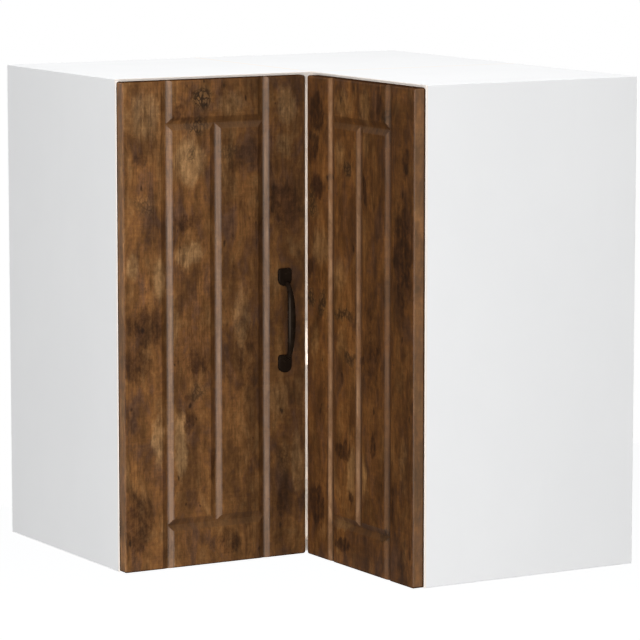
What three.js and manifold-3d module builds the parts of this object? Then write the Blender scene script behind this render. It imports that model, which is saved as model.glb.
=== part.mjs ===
// Corner wall cabinet with a two-leaf folding door.
// Millimetres, +Z up. The plan is drawn from the outer corner of the two end panels:
// X runs along the rear wall to the right, Y runs back towards the rear wall.
// The finished group is moved so that its origin is the centre of the underside.

import * as THREE from 'three';
import { mergeVertices } from 'three/addons/utils/BufferGeometryUtils.js';
import Module from 'manifold-3d';

const wasm = await Module();
wasm.setup();

// ---------- Driving sizes ----------

const cabinetWidth = 570;
const cabinetDepth = 570;
const cabinetHeight = 600;
const rearLegDepth = 300;
const sideLegDepth = 300;
const boardThickness = 15;
const boardEdgeRadius = 0.5;
const rodSegments = 12;
const cornerSegments = 3;
const panelSeam = 0.1;
const fitClearance = 0.3;
const cutOverrun = 1;

const backThickness = 3;
const backRecess = 12;
const grooveDepth = 7;

const postWidth = 60;

const shelfTop = 247;
const shelfSetback = 18;
const shelfSideGap = 1;

const shelfPinRadius = 2.5;
const shelfPinInside = 9;
const shelfPinOutside = 8;
const shelfPinInset = 40;
const pinHolePitch = 32;
const pinHolesAbove = 2;
const pinHolesBelow = 1;

const leafThickness = 15;
const leafGap = 1;
const leafSideReveal = 0.5;
const leafBottomReveal = 0.5;
const leafTopReveal = 2.8;
const leafFrontRadius = 2.2;
const leafFrontSteps = 3;
const leafCorner = 3;
const foldGap = 0.5;
const cornerGap = 2;

const grooveWidth = 16;
const grooveCutDepth = 3.5;
const grooveFloorShare = 0.16;
const grooveFloorRise = 0.9;
const groovePitch = 67;
const grooveRail = 53;

const handleFromEdge = 31;
const handleHeight = 296;
const handleScrewSpacing = 96;
const handleFootSpacing = 107.5;
const handleFootWidth = 18;
const handleFootLength = 22;
const handleFootThickness = 4.5;
const handleFootCorner = 3.5;
const handleFootEndRadius = 8;
const handleFootDome = 1.6;
const handleFootDomeSteps = 3;
const handleBarReach = 19;
const handleBarInFoot = 3;
const handleBarSteepness = 0.5;
const handleBarSteps = 22;
const handleBarSectionSegments = 6;
const handleBarEndWidth = 5;
const handleBarMiddleWidth = 11;
const handleBarThickness = 6.5;
const handleScrewRadius = 2;
const handleScrewHeadRadius = 4.5;
const handleScrewHeadThickness = 2.4;
const handleScrewRimRadius = 4.2;
const handleScrewRimThickness = 1.3;
const handleScrewCrownRadius = 2.7;
const handleScrewSegments = 16;
const handleScrewShortfall = 1.5;
const handleFootTapRest = 1;

const hingeHeightFromEnd = 98;
const cupRadius = 17.5;
const cupSegments = 24;
const cupDepth = 11.5;
const cupWall = 1;
const cupFromEdge = 5;
const cupFlangeThickness = 0.7;
const cupFlangeHeight = 62;
const cupFlangeWidth = 15;
const cupFlangeCorner = 7;
const cupScrewRadius = 1.8;
const cupScrewFromEnd = 7;
const hingePlateSetback = 37;
const hingePlateLength = 34;
const hingePlateThickness = 5;
const hingeArmWidth = 15;
const hingeArmHeight = 12;
const hingeArmLength = 62;
const hingeArmWall = 1.6;
const hingeArmCorner = 4;
const hingeArmNoseCorner = 2;
const hingeArmStart = 2;
const hingeChannelStart = 8;
const hingeAdjusters = [24, 46];
const wingWidth = 14;
const wingHeight = 50;
const wingCorner = 6;
const wingShare = 0.5;
const plateScrewRadius = 3;
const plateScrewFromEnd = 8;
const plateScrewSeat = 0.85;
const adjusterRadius = 3;
const pressedEdge = 0.5;
const hingePivotInset = 2.5;
const hingePivotFromFront = 4;
const hingeNoseReach = 9;
const hingeNoseClearance = 4;

const foldPinRadius = 1.5;
const pinSegments = 16;
const foldPinFromEnd = 11.5;
const foldPinDepth = 2;
const foldKnuckleRadius = 3;
const foldArmThickness = 3;
const foldArmWidth = 12;
const foldArmBehindLeaf = 3;
const foldArmInnerCorner = 2;
const foldArmOuterCorner = 4;
const foldAdjuster = 12;
const foldPlateLength = 40;
const foldPlateFromEnd = 12;
const foldPlateThickness = 2.6;
const foldPlateMargin = 3;

const camRadius = 7.5;
const camDepth = 12;
const camSlotWidth = 1.4;
const camSlotDepth = 1.5;
const camFromJoint = 24;
const camBoltRadius = 3;
const camBoltNeckRadius = 1.8;
const camBoltNeckLength = 4;
const camBoltHeadRadius = 3.6;
const camBoltHeadThickness = 2.4;
const camBoltInPanel = 10;
const camInset = 50;
const dowelRadius = 4;
const dowelChamfer = 1;
const dowelInPanel = 9.5;
const dowelInBoard = 20;

const hangerHeight = 60;
const hangerDepth = 42;
const hangerWidth = 17;
const hangerCorner = 4;
const hangerEdge = 1.5;
const hangerBelowTop = 8;
const hangerScrewRadius = 3;
const hangerScrewSink = 3;
const hangerScrewForward = 0.3;
const hangerScrewShares = [0.3, 0.7];
const hookThickness = 3;
const hookEdge = 0.4;
const hookWidth = 9;
const hookReach = 10;
const hookLip = 7;
const hookClearance = 1;

const bumperRadius = 4;
const bumperInset = 40;
const bumperDome = [[0.8, 0.7], [0.45, 1]];

// ---------- Places worked out from the driving sizes ----------

const rearFront = cabinetDepth - rearLegDepth;
const sideFront = cabinetWidth - sideLegDepth;
const rearBackInner = cabinetDepth - backRecess - backThickness;
const sideBackInner = cabinetWidth - backRecess - backThickness;
const middleHeight = cabinetHeight - 2 * boardThickness;

const leafBottom = leafBottomReveal;
const leafTop = cabinetHeight - leafTopReveal;
const leafHeight = leafTop - leafBottom;
const rearLeafFace = rearFront - leafGap - leafThickness;
const rearLeafBack = rearLeafFace + leafThickness;
const sideLeafFace = sideFront - leafGap - leafThickness;
const sideLeafBack = sideLeafFace + leafThickness;
const rearLeafEnd = sideLeafFace - foldGap;
const sideLeafEnd = rearLeafFace - cornerGap;

const hingeHeights = {
  lower: leafBottom + hingeHeightFromEnd,
  upper: leafTop - hingeHeightFromEnd,
};
const rearCupCentre = leafSideReveal + cupFromEdge + cupRadius;
const sideCupCentre = sideLeafEnd - cupFromEdge - cupRadius;

// The left leaf swings about a line near its front outer corner, so that its back corner
// clears the end panel; nothing of the carcass may lie within the leaf's swing radius.
const swingX = leafSideReveal + hingePivotInset;
const swingY = rearLeafFace + hingePivotFromFront;
const cornerSwing = Math.hypot(hingePivotInset, rearLeafBack - swingY);
const noseStart = swingX + cornerSwing + hingeNoseClearance;

const foldPinX = sideLeafBack - foldPinDepth;
const foldPinY = sideLeafEnd - foldPinFromEnd;

// ---------- Materials ----------

function material(color, roughness, metalness) {
  return new THREE.MeshStandardMaterial({ color, roughness, metalness });
}

const finishes = {
  melamine: () => material(0xf2f2f3, 0.45, 0),
  oakFoil: () => material(0x6b4a2e, 0.5, 0),
  hardboard: () => material(0xe9e6e1, 0.6, 0),
  darkMetal: () => material(0x15110f, 0.35, 0.6),
  nickel: () => material(0xb9b9b6, 0.3, 0.9),
  zinc: () => material(0xa3a5a8, 0.45, 0.85),
  beech: () => material(0xd0aa78, 0.65, 0),
  whitePlastic: () => material(0xeeeeea, 0.4, 0),
  clearRubber: () => material(0xdfe0dd, 0.3, 0),
};

// ---------- Solid helpers ----------

function toSolid(geometry) {
  let open = geometry.clone();
  open.deleteAttribute('normal');
  open.deleteAttribute('uv');
  open = mergeVertices(open, 1e-4);
  return new wasm.Manifold(new wasm.Mesh({
    numProp: 3,
    vertProperties: new Float32Array(open.attributes.position.array),
    triVerts: new Uint32Array(open.index.array),
  }));
}

function toGeometry(solid) {
  const data = solid.getMesh();
  const geometry = new THREE.BufferGeometry();
  geometry.setAttribute('position', new THREE.BufferAttribute(new Float32Array(data.vertProperties), 3));
  geometry.setIndex(new THREE.BufferAttribute(new Uint32Array(data.triVerts), 1));
  return geometry;
}

function toMesh(name, solid, finish) {
  const geometry = toGeometry(solid);
  geometry.computeVertexNormals();
  const mesh = new THREE.Mesh(geometry, finish());
  mesh.name = name;
  return mesh;
}

function join(first, ...others) {
  return others.reduce((whole, part) => whole.add(part), first);
}

function cut(body, ...tools) {
  return tools.reduce((whole, tool) => whole.subtract(tool), body);
}

function block(low, high) {
  const size = high.map((value, axis) => value - low[axis]);
  const geometry = new THREE.BoxGeometry(...size);
  geometry.translate(...low.map((value, axis) => value + size[axis] / 2));
  return toSolid(geometry);
}

// A frame puts drawn axes onto cabinet axes: x, y and z are the directions of the drawing's axes.
function frame(x, y, z, place) {
  const matrix = new THREE.Matrix4().makeBasis(x, y, z);
  return matrix.setPosition(...place);
}

const right = new THREE.Vector3(1, 0, 0);
const back = new THREE.Vector3(0, 1, 0);
const up = new THREE.Vector3(0, 0, 1);
const left = right.clone().negate();
const front = back.clone().negate();
const down = up.clone().negate();

function rod(radius, length, start, direction, segments = rodSegments) {
  const geometry = new THREE.CylinderGeometry(radius, radius, length, segments);
  geometry.translate(0, length / 2, 0);
  const turn = new THREE.Quaternion().setFromUnitVectors(back, direction);
  geometry.applyQuaternion(turn);
  geometry.translate(...start);
  return toSolid(geometry);
}

// Extrudes an outline to a plate with rounded edges; the outline keeps its drawn size.
function plate(outline, thickness, edge, matrix, steps = 1) {
  const geometry = new THREE.ExtrudeGeometry(outline, {
    depth: thickness - 2 * edge,
    bevelEnabled: edge > 0,
    bevelThickness: edge,
    bevelSize: edge,
    bevelOffset: -edge,
    bevelSegments: steps,
    curveSegments: cornerSegments,
  });
  geometry.translate(0, 0, edge);
  geometry.applyMatrix4(matrix);
  return toSolid(geometry);
}

function polygon(points) {
  return new THREE.Shape(points.map(([x, y]) => new THREE.Vector2(x, y)));
}

function rectangle(low, high) {
  return polygon([[low[0], low[1]], [high[0], low[1]], [high[0], high[1]], [low[0], high[1]]]);
}

function roundedRectangle(width, height, radius) {
  const x = width / 2;
  const y = height / 2;
  const shape = new THREE.Shape();
  shape.moveTo(-x + radius, -y);
  shape.lineTo(x - radius, -y);
  shape.absarc(x - radius, -y + radius, radius, -Math.PI / 2, 0);
  shape.lineTo(x, y - radius);
  shape.absarc(x - radius, y - radius, radius, 0, Math.PI / 2);
  shape.lineTo(-x + radius, y);
  shape.absarc(-x + radius, y - radius, radius, Math.PI / 2, Math.PI);
  shape.lineTo(-x, -y + radius);
  shape.absarc(-x + radius, -y + radius, radius, Math.PI, Math.PI * 1.5);
  return shape;
}

// Puts a drawn solid where a frame says; a frame that mirrors also turns its faces round.
function placeSolid(solid, matrix) {
  const geometry = toGeometry(solid);
  if (matrix.determinant() < 0) {
    const faces = geometry.index.array;
    for (let i = 0; i < faces.length; i += 3) {
      [faces[i + 1], faces[i + 2]] = [faces[i + 2], faces[i + 1]];
    }
  }
  geometry.applyMatrix4(matrix);
  return toSolid(geometry);
}

// Mirrors a solid drawn for the rear leg onto the side leg, by swapping X and Y.
const legMirror = frame(back, right, up, [0, 0, 0]);

function swapLegs(solid) {
  return placeSolid(solid, legMirror);
}

// Turns pairs of radius and height into a solid of revolution about the drawing's Y axis.
function lathe(profile, segments, matrix) {
  const points = profile.map(([radius, along]) => new THREE.Vector2(radius, along));
  const geometry = new THREE.LatheGeometry(points, segments);
  geometry.applyMatrix4(matrix);
  return toSolid(geometry);
}

// ---------- Fastener places ----------

// Each end panel meets the top and bottom boards with two cams and a dowel between them.
function jointPlaces(legFront, wall) {
  const reach = wall - backRecess - backThickness;
  return {
    cams: [legFront + camInset, reach - camInset],
    dowel: (legFront + reach) / 2,
  };
}

const rearJoint = jointPlaces(rearFront, cabinetDepth);
const sideJoint = jointPlaces(sideFront, cabinetWidth);
const boardMiddles = { bottom: boardThickness / 2, top: cabinetHeight - boardThickness / 2 };

const pinSeat = shelfTop - boardThickness - shelfPinRadius;

function pinHoleHeights() {
  const heights = [];
  for (let row = -pinHolesBelow; row <= pinHolesAbove; row += 1) {
    heights.push(pinSeat + row * pinHolePitch);
  }
  return heights;
}

function pinPlaces(legFront, wall) {
  return [legFront + shelfSetback + shelfPinInset, wall - backRecess - backThickness - shelfPinInset];
}

const rearPinPlaces = pinPlaces(rearFront, cabinetDepth);
const sidePinPlaces = pinPlaces(sideFront, cabinetWidth);
const postPinX = sideBackInner - postWidth / 2;

// ---------- Carcass ----------

// An end panel drawn for the rear leg: it stands at x = 0 and runs from the front to the wall.
function endPanel(legFront, wall, joint, pins) {
  const outline = rectangle([legFront, 0], [wall, cabinetHeight]);
  const board = plate(outline, boardThickness, boardEdgeRadius, frame(back, up, right, [0, 0, 0]));
  const holes = [];
  for (const height of Object.values(boardMiddles)) {
    for (const place of joint.cams) {
      const start = [boardThickness - camBoltInPanel - fitClearance, place, height];
      holes.push(rod(camBoltRadius + fitClearance, boardThickness, start, right));
    }
    const start = [boardThickness - dowelInPanel - fitClearance, joint.dowel, height];
    holes.push(rod(dowelRadius + fitClearance, boardThickness, start, right));
  }
  for (const place of pins) {
    for (const height of pinHoleHeights()) {
      const start = [boardThickness - shelfPinInside - fitClearance, place, height];
      holes.push(rod(shelfPinRadius + fitClearance, boardThickness, start, right));
    }
  }
  const slotBack = wall - backRecess + fitClearance;
  const slotFront = wall - backRecess - backThickness - fitClearance;
  const slot = block(
    [boardThickness - grooveDepth, slotFront, boardThickness - grooveDepth],
    [boardThickness + cutOverrun, slotBack, cabinetHeight - boardThickness + grooveDepth],
  );
  return cut(board, slot, ...holes);
}

// The two L-shaped boards are alike; the top one is the bottom one turned over.
function lBoard(low, inward) {
  const outline = polygon([
    [boardThickness + panelSeam, rearFront],
    [sideFront, rearFront],
    [sideFront, boardThickness + panelSeam],
    [cabinetWidth, boardThickness + panelSeam],
    [cabinetWidth, cabinetDepth],
    [boardThickness + panelSeam, cabinetDepth],
  ]);
  const board = plate(outline, boardThickness, boardEdgeRadius, frame(right, back, up, [0, 0, low]));
  const middle = low + boardThickness / 2;
  const face = inward.z > 0 ? low + boardThickness : low;
  const centre = boardThickness + camFromJoint;
  const mouth = face - inward.z * (camDepth + fitClearance);
  const camBore = camRadius + fitClearance;
  const boltBore = camBoltHeadRadius + fitClearance;
  const tools = [];
  for (const place of rearJoint.cams) {
    tools.push(rod(camBore, camDepth + cutOverrun, [centre, place, mouth], inward));
    tools.push(rod(boltBore, camFromJoint, [boardThickness, place, middle], right));
  }
  for (const place of sideJoint.cams) {
    tools.push(rod(camBore, camDepth + cutOverrun, [place, centre, mouth], inward));
    tools.push(rod(boltBore, camFromJoint, [place, boardThickness, middle], back));
  }
  const dowelBore = dowelRadius + fitClearance;
  const dowelHole = dowelInBoard + fitClearance;
  tools.push(rod(dowelBore, dowelHole, [boardThickness, rearJoint.dowel, middle], right));
  tools.push(rod(dowelBore, dowelHole, [sideJoint.dowel, boardThickness, middle], back));
  const slotLow = inward.z > 0 ? low + boardThickness - grooveDepth : low - cutOverrun;
  const slotHigh = slotLow + grooveDepth + cutOverrun;
  const slotRight = cabinetWidth - backRecess + fitClearance;
  const slotBack = cabinetDepth - backRecess + fitClearance;
  tools.push(block([0, rearBackInner - fitClearance, slotLow], [slotRight, slotBack, slotHigh]));
  tools.push(block([sideBackInner - fitClearance, 0, slotLow], [slotRight, slotBack, slotHigh]));
  return cut(board, ...tools);
}

const backLow = boardThickness - grooveDepth + fitClearance;
const backHigh = cabinetHeight - backLow;

const hangerTop = cabinetHeight - boardThickness - hangerBelowTop;
const hookTop = hangerTop - hookLip - hookThickness;
const hookStart = boardThickness + panelSeam + (hangerWidth - hookWidth) / 2;

function hangerSlot(backInner) {
  const high = hangerTop - hookLip;
  return block(
    [hookStart - hookClearance, backInner - cutOverrun, high - hangerHeight / 2],
    [hookStart + hookWidth + hookClearance, backInner + backThickness + cutOverrun, high],
  );
}

function rearBackPanel() {
  const board = block(
    [boardThickness - grooveDepth + fitClearance, rearBackInner, backLow],
    [cabinetWidth - backRecess, rearBackInner + backThickness, backHigh],
  );
  return cut(board, hangerSlot(rearBackInner));
}

function sideBackPanel() {
  const board = block(
    [boardThickness - grooveDepth + fitClearance, sideBackInner, backLow],
    [rearBackInner - panelSeam, sideBackInner + backThickness, backHigh],
  );
  return swapLegs(cut(board, hangerSlot(sideBackInner)));
}

// The post stands in the rear corner; the backs are nailed to it and it carries the shelf.
function cornerPost() {
  const low = boardThickness + panelSeam;
  const outline = rectangle([0, 0], [postWidth, middleHeight - 2 * panelSeam]);
  const place = [
    sideBackInner - panelSeam - postWidth,
    rearBackInner - panelSeam,
    low,
  ];
  const board = plate(outline, boardThickness, boardEdgeRadius, frame(right, up, front, place));
  const holeEnd = rearBackInner - boardThickness - panelSeam + shelfPinInside + fitClearance;
  const holes = pinHoleHeights().map((height) => {
    return rod(shelfPinRadius + fitClearance, boardThickness, [postPinX, holeEnd, height], front);
  });
  return cut(board, ...holes);
}

function shelf() {
  const rear = rearBackInner - shelfSideGap;
  const side = sideBackInner - shelfSideGap;
  const notchRear = rearBackInner - boardThickness - shelfSideGap;
  const notchSide = sideBackInner - postWidth - shelfSideGap;
  const edge = boardThickness + shelfSideGap;
  const outline = polygon([
    [edge, rearFront + shelfSetback],
    [sideFront + shelfSetback, rearFront + shelfSetback],
    [sideFront + shelfSetback, edge],
    [side, edge],
    [side, notchRear],
    [notchSide, notchRear],
    [notchSide, rear],
    [edge, rear],
  ]);
  const place = [0, 0, shelfTop - boardThickness];
  return plate(outline, boardThickness, boardEdgeRadius, frame(right, back, up, place));
}

// A stepped pin: the collar stops it at the board's face and the shelf lies on its nose.
function shelfPin(start, inward) {
  const root = rod(shelfPinRadius, shelfPinInside, start, inward);
  const face = inward.clone().multiplyScalar(shelfPinInside).add(new THREE.Vector3(...start));
  const nose = rod(shelfPinRadius - panelSeam, shelfPinOutside, face.toArray(), inward);
  return root.add(nose);
}

// ---------- Joint fittings ----------

// A cam housing with its cross slot and the side port that the bolt's head enters.
function cam(x, y, face, inward, towardsJoint) {
  const start = [x, y, face - inward.z * camDepth];
  const body = rod(camRadius, camDepth, start, inward);
  const middle = face - inward.z * (boardThickness / 2);
  const port = rod(camBoltHeadRadius + fitClearance, camRadius + cutOverrun, [x, y, middle], towardsJoint);
  const slotFloor = face - inward.z * camSlotDepth;
  const low = Math.min(face, slotFloor);
  const high = Math.max(face, slotFloor);
  const slots = [[camRadius, camSlotWidth], [camSlotWidth, camRadius]].map(([along, across]) => {
    return block([x - along / 2, y - across / 2, low], [x + along / 2, y + across / 2, high]);
  });
  return cut(body, port, ...slots);
}

// A cam bolt drawn along +X from the end panel into the board, ending in its head.
function camBolt(place, height) {
  const start = boardThickness - camBoltInPanel;
  const headStart = boardThickness + camFromJoint - camBoltHeadThickness;
  const shankEnd = headStart - camBoltNeckLength / 2;
  const shank = rod(camBoltRadius, shankEnd - start, [start, place, height], right);
  const neckStart = [shankEnd - camBoltNeckLength / 2, place, height];
  const neck = rod(camBoltNeckRadius, camBoltNeckLength + camBoltHeadThickness, neckStart, right);
  const head = rod(camBoltHeadRadius, camBoltHeadThickness, [headStart, place, height], right);
  return join(shank, neck, head);
}

function dowel(place, height) {
  const length = dowelInPanel + dowelInBoard;
  const profile = [
    [0, 0],
    [dowelRadius - dowelChamfer, 0],
    [dowelRadius, dowelChamfer],
    [dowelRadius, length - dowelChamfer],
    [dowelRadius - dowelChamfer, length],
    [0, length],
  ];
  const start = [boardThickness - dowelInPanel, place, height];
  return lathe(profile, rodSegments, frame(front, right, up, start));
}

// ---------- Wall hangers ----------

// The housing is screwed to the end panel behind the top rail and the hook slides in it.
function hangerHousing(backInner) {
  const outline = roundedRectangle(hangerDepth, hangerHeight, hangerCorner);
  const place = [
    boardThickness + panelSeam,
    backInner - fitClearance - hangerDepth / 2,
    hangerTop - hangerHeight / 2,
  ];
  const body = plate(outline, hangerWidth, hangerEdge, frame(back, up, right, place));
  const pocket = block(
    [hookStart - fitClearance, backInner - hangerDepth / 2, hookTop - hookLip * 2 - fitClearance],
    [hookStart + hookWidth + fitClearance, backInner + cutOverrun, hookTop + fitClearance],
  );
  const screws = hangerScrewShares.map((share) => {
    const seat = [
      place[0] + hangerWidth - hangerScrewSink,
      place[1] - hangerDepth * hangerScrewForward,
      hangerTop - hangerHeight * share,
    ];
    return rod(hangerScrewRadius, hangerScrewSink + cutOverrun, seat, right);
  });
  return cut(body, pocket, ...screws);
}

// The hook's tongue passes through the back and its lip turns down over the wall rail.
function hangerHook(backInner) {
  const inner = backInner - hangerDepth / 2 + fitClearance;
  const tip = backInner + backThickness + hookReach;
  const outline = polygon([
    [inner, hookTop],
    [tip, hookTop],
    [tip, hookTop - hookThickness - hookLip],
    [tip - hookThickness, hookTop - hookThickness - hookLip],
    [tip - hookThickness, hookTop - hookThickness],
    [inner + hookThickness, hookTop - hookThickness],
    [inner + hookThickness, hookTop - hookLip * 2],
    [inner, hookTop - hookLip * 2],
  ]);
  return plate(outline, hookWidth, hookEdge, frame(back, up, right, [hookStart, 0, 0]));
}

// ---------- Door leaves ----------

// The leaf is drawn flat: x across, y up and z out of its back, with its face at z = 0.
function leafBoard(width) {
  const outline = roundedRectangle(width, leafHeight, leafCorner);
  const blankThickness = leafThickness + 2 * leafFrontRadius;
  const drawn = frame(right, back, up, [width / 2, leafHeight / 2, 0]);
  const blank = plate(outline, blankThickness, leafFrontRadius, drawn, leafFrontSteps);
  const beyond = block(
    [-cutOverrun, -cutOverrun, leafThickness],
    [width + cutOverrun, leafHeight + cutOverrun, blankThickness + cutOverrun],
  );
  return blank.subtract(beyond);
}

// One routed groove: a shallow V with a softened bottom, cut from start along a direction.
function grooveCutter(start, length, upright) {
  const half = grooveWidth / 2;
  const root = half * grooveFloorShare;
  const floor = grooveCutDepth * grooveFloorRise;
  const section = polygon([
    [-half - cutOverrun, -cutOverrun],
    [half + cutOverrun, -cutOverrun],
    [half, 0],
    [root, floor],
    [0, grooveCutDepth],
    [-root, floor],
    [-half, 0],
  ]);
  const geometry = new THREE.ExtrudeGeometry(section, { depth: length, bevelEnabled: false });
  const place = [start[0], start[1], 0];
  const matrix = upright ? frame(right, up, front, place) : frame(back, up, right, place);
  geometry.applyMatrix4(matrix);
  return toSolid(geometry);
}

// Two full-height grooves, two cross grooves between them and a short one down the middle.
function grooves(width) {
  const middle = width / 2;
  const low = grooveRail;
  const high = leafHeight - grooveRail;
  const cutters = [-groovePitch, groovePitch].map((offset) => {
    return grooveCutter([middle + offset, leafHeight + cutOverrun], leafHeight + 2 * cutOverrun, true);
  });
  cutters.push(grooveCutter([middle, high], high - low, true));
  for (const height of [low, high]) {
    cutters.push(grooveCutter([middle - groovePitch, height], groovePitch * 2, false));
  }
  return cutters;
}

function cupBore(x, y) {
  const depth = cupDepth + fitClearance;
  const start = [x, y, leafThickness - depth];
  return rod(cupRadius + fitClearance, depth + cutOverrun, start, up, cupSegments);
}

const rearLeafWidth = rearLeafEnd - leafSideReveal;
const sideLeafWidth = sideLeafEnd - leafSideReveal;
const handleX = rearLeafEnd - handleFromEdge;
const handleScrewHeights = {
  lower: handleHeight - handleScrewSpacing / 2,
  upper: handleHeight + handleScrewSpacing / 2,
};

const rearLeafFrame = frame(right, up, back, [leafSideReveal, rearLeafFace, leafBottom]);
const sideLeafFrame = frame(back, up, right, [sideLeafFace, leafSideReveal, leafBottom]);

function rearLeaf() {
  const bores = Object.values(hingeHeights).map((height) => {
    return cupBore(rearCupCentre - leafSideReveal, height - leafBottom);
  });
  const screwHoles = Object.values(handleScrewHeights).map((height) => {
    const start = [handleX - leafSideReveal, height - leafBottom, -cutOverrun];
    return rod(handleScrewRadius + fitClearance, leafThickness + 2 * cutOverrun, start, up);
  });
  const board = cut(leafBoard(rearLeafWidth), ...grooves(rearLeafWidth), ...bores, ...screwHoles);
  return placeSolid(board, rearLeafFrame);
}

function sideLeaf() {
  const bores = Object.values(hingeHeights).map((height) => {
    return cupBore(sideCupCentre - leafSideReveal, height - leafBottom);
  });
  const board = cut(leafBoard(sideLeafWidth), ...grooves(sideLeafWidth), ...bores);
  return placeSolid(board, sideLeafFrame);
}

// ---------- Handle ----------

// The bow stands out from the leaf: it rises steeply from each foot and flattens in the middle.
const bowHalf = (handleFootSpacing - handleFootLength) / 2 + handleBarInFoot;

class HandleBow extends THREE.Curve {
  getPoint(t, target = new THREE.Vector3()) {
    const angle = Math.PI * t;
    const rise = Math.sin(angle) ** handleBarSteepness * (handleBarReach - handleFootThickness / 2);
    return target.set(0, -rise, -bowHalf * Math.cos(angle));
  }
}

// The bar is a flattened strap, widest in the middle of the bow.
function handleBar() {
  const section = new THREE.Shape();
  section.absellipse(0, 0, handleBarMiddleWidth / 2, handleBarThickness / 2, 0, Math.PI * 2);
  const bar = new THREE.ExtrudeGeometry(section, {
    extrudePath: new HandleBow(),
    steps: handleBarSteps,
    curveSegments: handleBarSectionSegments,
    bevelEnabled: false,
  });
  const points = bar.attributes.position;
  for (let i = 0; i < points.count; i += 1) {
    const share = Math.min(1, Math.abs(points.getZ(i)) / bowHalf);
    const width = handleBarMiddleWidth + (handleBarEndWidth - handleBarMiddleWidth) * share ** 2;
    points.setX(i, points.getX(i) * width / handleBarMiddleWidth);
  }
  bar.translate(handleX, rearLeafFace - handleFootThickness / 2, handleHeight);
  return toSolid(bar);
}

// Each foot is a domed tab, squared at its top and round at its lower end.
function handleFoot(centre) {
  const half = handleFootWidth / 2;
  const reach = handleFootLength / 2;
  const corner = handleFootCorner;
  const end = handleFootEndRadius;
  const shape = new THREE.Shape();
  shape.moveTo(-half + corner, reach);
  shape.absarc(-half + corner, reach - corner, corner, Math.PI / 2, Math.PI);
  shape.lineTo(-half, -reach + end);
  shape.absarc(-half + end, -reach + end, end, Math.PI, Math.PI * 1.5);
  shape.lineTo(half - end, -reach);
  shape.absarc(half - end, -reach + end, end, -Math.PI / 2, 0);
  shape.lineTo(half, reach - corner);
  shape.absarc(half - corner, reach - corner, corner, 0, Math.PI / 2);
  const face = [handleX, rearLeafFace - handleFootThickness, centre];
  const tabThickness = handleFootThickness + 2 * handleFootDome;
  return plate(shape, tabThickness, handleFootDome, frame(left, up, back, face), handleFootDomeSteps);
}

// Both feet lie flat on the leaf and are tapped for the screws that come through it.
function handle() {
  const footOffset = (handleFootSpacing - handleFootLength) / 2 + handleFootLength / 2;
  const feet = [handleHeight - footOffset, handleHeight + footOffset].map(handleFoot);
  const behind = block(
    [handleX - handleFootWidth, rearLeafFace - panelSeam, handleHeight - handleFootSpacing],
    [handleX + handleFootWidth, rearLeafFace + handleBarReach, handleHeight + handleFootSpacing],
  );
  const threads = Object.values(handleScrewHeights).map((height) => {
    const start = [handleX, rearLeafFace, height];
    return rod(handleScrewRadius + fitClearance, handleFootThickness - handleFootTapRest, start, front);
  });
  return cut(join(handleBar(), ...feet), behind, ...threads);
}

function handleScrew(height) {
  const headStart = rearLeafBack + panelSeam;
  const shankLength = headStart - rearLeafFace + handleFootThickness - handleScrewShortfall;
  const shank = rod(handleScrewRadius, shankLength, [handleX, headStart, height], front);
  const profile = [
    [0, 0],
    [handleScrewHeadRadius, 0],
    [handleScrewRimRadius, handleScrewRimThickness],
    [handleScrewCrownRadius, handleScrewHeadThickness],
    [0, handleScrewHeadThickness],
  ];
  const head = lathe(profile, handleScrewSegments, frame(right, back, up, [handleX, headStart, height]));
  return shank.add(head);
}

// ---------- Cabinet hinges ----------

// A cup drawn with its mouth at z = 0 and its flange on the leaf's back, as a pressed shell.
function cupSolid() {
  const profile = [
    [0, -cupDepth],
    [cupRadius - cupWall, -cupDepth],
    [cupRadius, -cupDepth + cupWall],
    [cupRadius, cupFlangeThickness],
    [cupRadius - cupWall, cupFlangeThickness],
    [cupRadius - cupWall, -cupDepth + cupWall],
    [0, -cupDepth + cupWall],
  ];
  const shell = lathe(profile, cupSegments, frame(right, up, front, [0, 0, 0]));
  const lifted = frame(right, back, up, [0, 0, panelSeam]);
  const wings = roundedRectangle(cupFlangeWidth, cupFlangeHeight, cupFlangeCorner);
  const flange = plate(wings, cupFlangeThickness - panelSeam, 0, lifted);
  const mouth = rod(cupRadius - cupWall / 2, cupDepth, [0, 0, -cupDepth / 2], up, cupSegments);
  const screwHoles = [-1, 1].map((side) => {
    const place = [0, side * (cupFlangeHeight / 2 - cupScrewFromEnd), -cutOverrun];
    return rod(cupScrewRadius, cupFlangeThickness + 2 * cutOverrun, place, up);
  });
  return join(shell, cut(flange, mouth, ...screwHoles));
}

function rearCup(height) {
  return placeSolid(cupSolid(), frame(left, up, back, [rearCupCentre, rearLeafBack, height]));
}

function sideCup(height) {
  return placeSolid(cupSolid(), frame(back, up, right, [sideLeafBack, sideCupCentre, height]));
}

// A mounting plate lies on a board as a raised spine across two screwed wings.
function wingedPlate(length, width, thickness, matrix) {
  const outline = rectangle([-length / 2, -width / 2], [length / 2, width / 2]);
  const spine = plate(outline, thickness, pressedEdge, matrix);
  const wings = roundedRectangle(wingWidth, wingHeight, wingCorner);
  const wing = plate(wings, thickness * wingShare, pressedEdge, matrix);
  const screws = [-1, 1].map((side) => {
    const seat = [0, side * (wingHeight / 2 - plateScrewFromEnd), plateScrewSeat];
    return placeSolid(rod(plateScrewRadius, thickness, seat, up), matrix);
  });
  return cut(join(spine, wing), ...screws);
}

function hingePlate(height) {
  const place = [boardThickness + panelSeam, rearFront + hingePlateSetback, height];
  const matrix = frame(back, up, right, place);
  return wingedPlate(hingePlateLength, hingeArmWidth, hingePlateThickness, matrix);
}

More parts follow.
